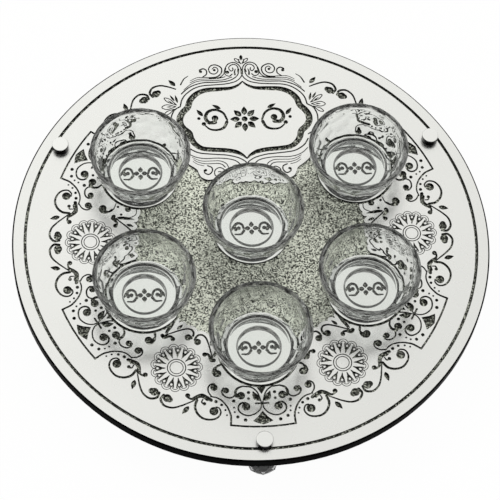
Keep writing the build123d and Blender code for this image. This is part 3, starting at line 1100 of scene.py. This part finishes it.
# In the order of the plaque's kinds of face: satin sheet, clear sheet on the seats,
# glitter in the field, glitter in the lines darkened as painted shade, the dark sides of the carving, and
# the edge
PLAQUE_MATERIALS = [
    mirror_look("plate_mirror", (0.25, 0.29)).material,
    mirror_look("seat_mirror", (0.02, 0.05)).material,
    glitter_look("field_glitter", FIELD_TONES).material,
    glitter_look("line_glitter_painted_shade", LINE_PAINTED_SHADE_TONES).material,
    cut_wall,
    lacquer,
]
bowl_glass = add_painted_reflection_streaks(glass_look("bowl_glass", 1.5, (0.955, 0.975, 0.965), 0.18)).material

plaque = make_object("carved_plaque", *plaque_mesh())
for material in PLAQUE_MATERIALS:
    plaque.data.materials.append(material)
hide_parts("mirror_plaque")
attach(plaque, "plate")

for number, name in enumerate(BOWL_NAMES):
    x, y = SEATS[name]
    vertices, faces = bowl_mesh(seed=number)
    bowl = make_object("hammered_bowl_" + name, vertices, faces, place=(x, y, TOP_Z))
    bowl.data.polygons.foreach_set("use_smooth", [True] * len(faces))
    bowl.data.materials.append(bowl_glass)
    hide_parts("bowl_" + name)
    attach(bowl, "bowl_" + name)

TURNED = (1, 1, 8)
steel = plain_look("turned_steel", (0.42, 0.60), (300.0, 3.0, TURNED), (0.2, 0.4), (400.0, 3.0, TURNED),
                   Metallic=1.0).material
# Clear washers gone slightly milky, and soft translucent pads under the feet
plastic = plain_look("clear_plastic", (0.82, 0.92), (400.0,), (0.12, 0.28), (600.0,),
                     Transmission_Weight=0.85, IOR=1.49).material
rubber = plain_look("clear_rubber", (0.66, 0.78), (500.0,), (0.35, 0.55), (700.0,),
                    Transmission_Weight=0.5, IOR=1.45).material
NODE_LOOKS = {
    "base_disc": lacquer,
    "cap": chrome_look().material,
    "cap_washer": plastic,
    "stud": steel,
    "foot_collar": steel,
    "crystal_foot": glass_look("foot_crystal", 1.56, (0.97, 0.98, 0.98), 0.02).material,
    "foot_pad": rubber,
}
for name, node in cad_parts.items():
    kind = name if name in NODE_LOOKS else name.rsplit("_", 1)[0]
    if kind in NODE_LOOKS:
        for slot in node.material_slots:
            slot.material = NODE_LOOKS[kind]


# The photograph's viewing angle

VIEW_AZIMUTH = radians(-8.037)
VIEW_ELEVATION = radians(62.51)
VIEW_ROLL = radians(5.557)
VIEW_DISTANCE = 1.41469
VIEW_TARGET = Vector((-0.00199, -0.01027, TOP_Z * MM))
LENS = 139.49
SENSOR_WIDTH = 36.0


def view_direction():
    """From the plate towards the camera."""
    return Vector((sin(VIEW_AZIMUTH) * cos(VIEW_ELEVATION), -cos(VIEW_AZIMUTH) * cos(VIEW_ELEVATION),
                   sin(VIEW_ELEVATION)))


# The stage: a white floor, a soft studio sky and two lamps

FLOOR_HALF = 4.0
FLOOR_SHARE_LIT = 0.03


def stage_floor():
    """A floor that glows white to the camera, in mirrors and in glass; a small share takes shadows."""
    mesh = bpy.data.meshes.new("floor")
    h = FLOOR_HALF
    mesh.from_pydata([(-h, -h, 0), (h, -h, 0), (h, h, 0), (-h, h, 0)], [], [(0, 1, 2, 3)])
    floor = bpy.data.objects.new("floor", mesh)
    bpy.context.scene.collection.objects.link(floor)
    look = Look("floor_white", Base_Color=(0.9, 0.9, 0.9, 1), Roughness=0.9)
    path = look.node("ShaderNodeLightPath").outputs
    seen = look.math("MAXIMUM", path["Is Camera Ray"], path["Is Glossy Ray"])
    seen = look.math("MAXIMUM", seen, path["Is Transmission Ray"])
    share = look.math("MULTIPLY", seen, 1 - FLOOR_SHARE_LIT)
    glow = look.node("ShaderNodeEmission", {"Strength": 1.0})
    mix = look.node("ShaderNodeMixShader", (share, look.shader.outputs[0], glow.outputs[0]))
    look.feed(look.nodes["Material Output"].inputs["Surface"], mix.outputs[0])
    floor.data.materials.append(look.material)


SKY_COLOUR = (1.0, 1.003, 0.958)
SKY_LEVEL = 0.645
SKY_LEAN = (-0.435, 0.55, 0.0)
SKY_DIMMEST = 0.7
HORIZON_TONE = 0.3
HORIZON_REACH = (0.0, 0.3)
DARK_TONE = 0.03
DARK_FRONT_REACH = (-0.25, 0.05)
DARK_SIDES_REACH = (0.65, 0.84)
MANY_TONE = 0.3
SHADE_TONE = 0.2
SHADE_REACH = (0.93, 0.985)


def stage_sky():
    """White to the camera; in reflections a soft studio, brightest behind the plate on the left.

    A shade behind the camera and a dim horizon draw dark lines in the metal.
    Light that bounced in glass also meets dark parts, in front of the plate and low down on all sides.
    They draw the dark lines in the bowls, and light that bounced many times meets an even grey there.
    """
    world = bpy.data.worlds.new("studio")
    bpy.context.scene.world = world
    world.use_nodes = True
    sky = Nodes(world.node_tree)
    math = sky.math
    direction = sky.node("ShaderNodeTexCoord").outputs["Generated"]
    path = sky.node("ShaderNodeLightPath").outputs

    def towards(vector):
        return sky.vector("DOT_PRODUCT", direction, vector)

    def soft_fade(value, reach, *tones):
        return sky.fade(value, reach, tones, "SMOOTHSTEP")

    slope = math("ADD", towards(SKY_LEAN), SKY_LEVEL)
    slope = math("MINIMUM", math("MAXIMUM", slope, SKY_DIMMEST), 1.0)
    height = towards((0, 0, 1))
    horizon = soft_fade(height, HORIZON_REACH, HORIZON_TONE, 1.0)
    shade = soft_fade(towards(view_direction()), SHADE_REACH, 1.0, SHADE_TONE)
    front = soft_fade(towards((0, 1, 0)), DARK_FRONT_REACH, DARK_TONE, 1.0)
    sides = soft_fade(height, DARK_SIDES_REACH, DARK_TONE, 1.0)
    reflected = math("GREATER_THAN", path["Glossy Depth"], 0.5)
    reflected_twice = math("GREATER_THAN", path["Glossy Depth"], 1.5)
    leaving_glass = math("MULTIPLY", path["Is Transmission Ray"], reflected)
    sees_dark = math("MAXIMUM", reflected_twice, leaving_glass)
    few_reflections = math("LESS_THAN", path["Glossy Depth"], 2.5)
    many_reflections = math("SUBTRACT", 1.0, few_reflections)
    dark = math("MULTIPLY", math("MULTIPLY", front, sides), few_reflections)
    dark = math("MAXIMUM", dark, math("MULTIPLY", many_reflections, MANY_TONE))
    dark = math("MAXIMUM", math("MAXIMUM", dark, DARK_TONE), math("SUBTRACT", 1.0, sees_dark))
    studio = math("MULTIPLY", slope, math("MULTIPLY", horizon, math("MULTIPLY", shade, dark)))
    let_through = math("SUBTRACT", path["Is Transmission Ray"], leaving_glass)
    straight = math("MAXIMUM", path["Is Camera Ray"], let_through)
    background = sky.nodes["Background"].inputs
    sky.feed(background["Strength"], math("MAXIMUM", studio, straight))
    sky.feed(background["Color"], sky.blend(straight, (*SKY_COLOUR, 1), (1, 1, 1, 1)))


def add_lamp(name, place, size, power):
    """A soft square lamp that faces the plate."""
    lamp = bpy.data.lights.new(name, "AREA")
    lamp.energy = power
    lamp.size = size
    obj = bpy.data.objects.new(name, lamp)
    obj.location = place
    obj.rotation_euler = (-Vector(place)).to_track_quat("-Z", "Y").to_euler()
    obj.visible_glossy = False
    obj.visible_transmission = False
    bpy.context.scene.collection.objects.link(obj)


stage_floor()
stage_sky()
add_lamp("lamp_back_left", (-0.9, 1.0, 1.6), size=0.9, power=10.0)
add_lamp("lamp_right", (1.3, -0.2, 1.5), size=0.8, power=6.0)


def add_camera():
    """A camera with the photograph's view."""
    data = bpy.data.cameras.new("camera")
    data.lens = LENS
    data.sensor_width = SENSOR_WIDTH
    camera = bpy.data.objects.new("camera", data)
    bpy.context.scene.collection.objects.link(camera)
    back = view_direction()
    right = Vector((cos(VIEW_AZIMUTH), sin(VIEW_AZIMUTH), 0.0))
    up = back.cross(right)
    turned_right = cos(VIEW_ROLL) * right + sin(VIEW_ROLL) * up
    turned_up = cos(VIEW_ROLL) * up - sin(VIEW_ROLL) * right
    rotation = Matrix((turned_right, turned_up, back)).transposed().to_4x4()
    camera.matrix_world = Matrix.Translation(VIEW_TARGET + VIEW_DISTANCE * back) @ rotation
    bpy.context.scene.camera = camera


add_camera()
bpy.context.scene.view_settings.view_transform = "Standard"

# Light is followed far enough to find its way out of thick glass
LIGHT_BOUNCES = 32
bpy.context.scene.cycles.max_bounces = LIGHT_BOUNCES
bpy.context.scene.cycles.glossy_bounces = LIGHT_BOUNCES
bpy.context.scene.cycles.transmission_bounces = LIGHT_BOUNCES
